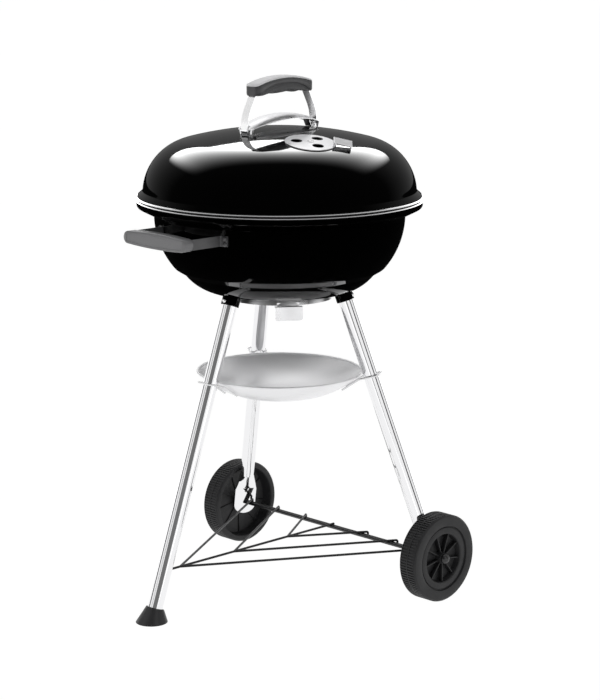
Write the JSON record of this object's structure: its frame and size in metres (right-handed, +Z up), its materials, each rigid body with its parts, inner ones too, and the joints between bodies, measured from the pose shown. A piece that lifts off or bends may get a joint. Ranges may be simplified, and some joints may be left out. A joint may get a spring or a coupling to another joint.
{
  "type": "kettle charcoal grill",
  "caption": "Round black kettle grill with a domed lid on a tripod of bright tubes, two wheels, an ash dish, vents, grates and grip handles.",
  "frame": {"origin": "on the floor, at the centre of the outline's box in plan", "axes": "+Z up; -Y towards the side with the bowl's handle and the fixed foot; the wheels' axle lies along X on the +Y side"},
  "size_m": [0.545, 0.5624, 0.8845],
  "materials": {
    "enamel_black": "gloss vitreous enamel",
    "leg_chrome": "bright plated tube",
    "grate_chrome": "plated wire",
    "aluminium": "satin",
    "black_wire": "satin black paint",
    "wheel_plastic": "moulded, slightly ribbed",
    "foot_plastic": "moulded",
    "grip_dark": "moulded, fine grain",
    "grip_grey": "moulded, satin",
    "cover_pale": "satin silver",
    "arm_dark": "satin dark grey paint",
    "cap_black": "moulded, gloss",
    "steel": "bright"
  },
  "bodies": {
    "stand": {"bowl": "enamel_black", "leg_socket_front": "enamel_black", "leg_socket_left": "enamel_black", "leg_socket_right": "enamel_black", "leg_front": "leg_chrome", "leg_left": "leg_chrome", "leg_right": "leg_chrome", "leg_screws": "steel", "foot_cap": "foot_plastic", "axle": "black_wire", "bottom_rack": "black_wire", "hub_cap_left": "cap_black", "hub_cap_right": "cap_black", "ash_clip_front": "steel", "ash_clip_left": "steel", "ash_clip_right": "steel", "bowl_damper_rivet": "steel", "bowl_handle_grip": "grip_grey", "bowl_handle_arm_left": "arm_dark", "bowl_handle_arm_right": "arm_dark", "bowl_handle_nuts": "arm_dark"},
    "wheel_left": {"wheel_left": "wheel_plastic"},
    "wheel_right": {"wheel_right": "wheel_plastic"},
    "ash_catcher": {"ash_catcher": "aluminium"},
    "bowl_damper": {"bowl_damper": "aluminium"},
    "charcoal_grate": {"charcoal_grate": "grate_chrome"},
    "cooking_grate": {"cooking_grate": "grate_chrome", "cooking_grate_handle_front": "grate_chrome", "cooking_grate_handle_rear": "grate_chrome"},
    "lid": {"lid": "enamel_black", "lid_damper_rivet": "steel", "lid_handle_arm_front": "steel", "lid_handle_arm_rear": "steel", "lid_handle_grip": "grip_dark", "lid_handle_cover": "cover_pale", "lid_handle_pad": "grip_dark", "lid_heat_shield": "aluminium", "lid_handle_bolts": "steel", "lid_handle_nuts": "steel"},
    "lid_damper": {"lid_damper": "aluminium"}
  },
  "joints": [
    {"name": "wheel_left_spin", "type": "hinge", "parent": "stand", "child": "wheel_left", "pos_m": [-0.24573, 0.1738, 0.075], "axis": [1, 0, 0], "continuous": true},
    {"name": "wheel_right_spin", "type": "hinge", "parent": "stand", "child": "wheel_right", "pos_m": [0.24573, 0.1738, 0.075], "axis": [1, 0, 0], "continuous": true},
    {"name": "bowl_damper_turn", "type": "hinge", "parent": "stand", "child": "bowl_damper", "pos_m": [0, 0.03975, 0.5185], "axis": [0, 0, 1], "range_deg": [-30, 40]},
    {"name": "ash_catcher_lift", "type": "slide", "parent": "stand", "child": "ash_catcher", "axis": [0, 0, 1], "range_m": [0, 0.007]},
    {"name": "charcoal_grate_lift", "type": "slide", "parent": "stand", "child": "charcoal_grate", "axis": [0, 0, 1], "range_m": [0, 0.15]},
    {"name": "cooking_grate_lift", "type": "slide", "parent": "charcoal_grate", "child": "cooking_grate", "axis": [0, 0, 1], "range_m": [0, 0.15]},
    {"name": "lid_lift", "type": "slide", "parent": "cooking_grate", "child": "lid", "axis": [0, 0, 1], "range_m": [0, 0.25]},
    {"name": "lid_damper_turn", "type": "hinge", "parent": "lid", "child": "lid_damper", "pos_m": [0.11872, -0.00535, 0.78511], "axis": [0.1849, -0.0702, 0.9802], "range_deg": [0, 60]}
  ]
}
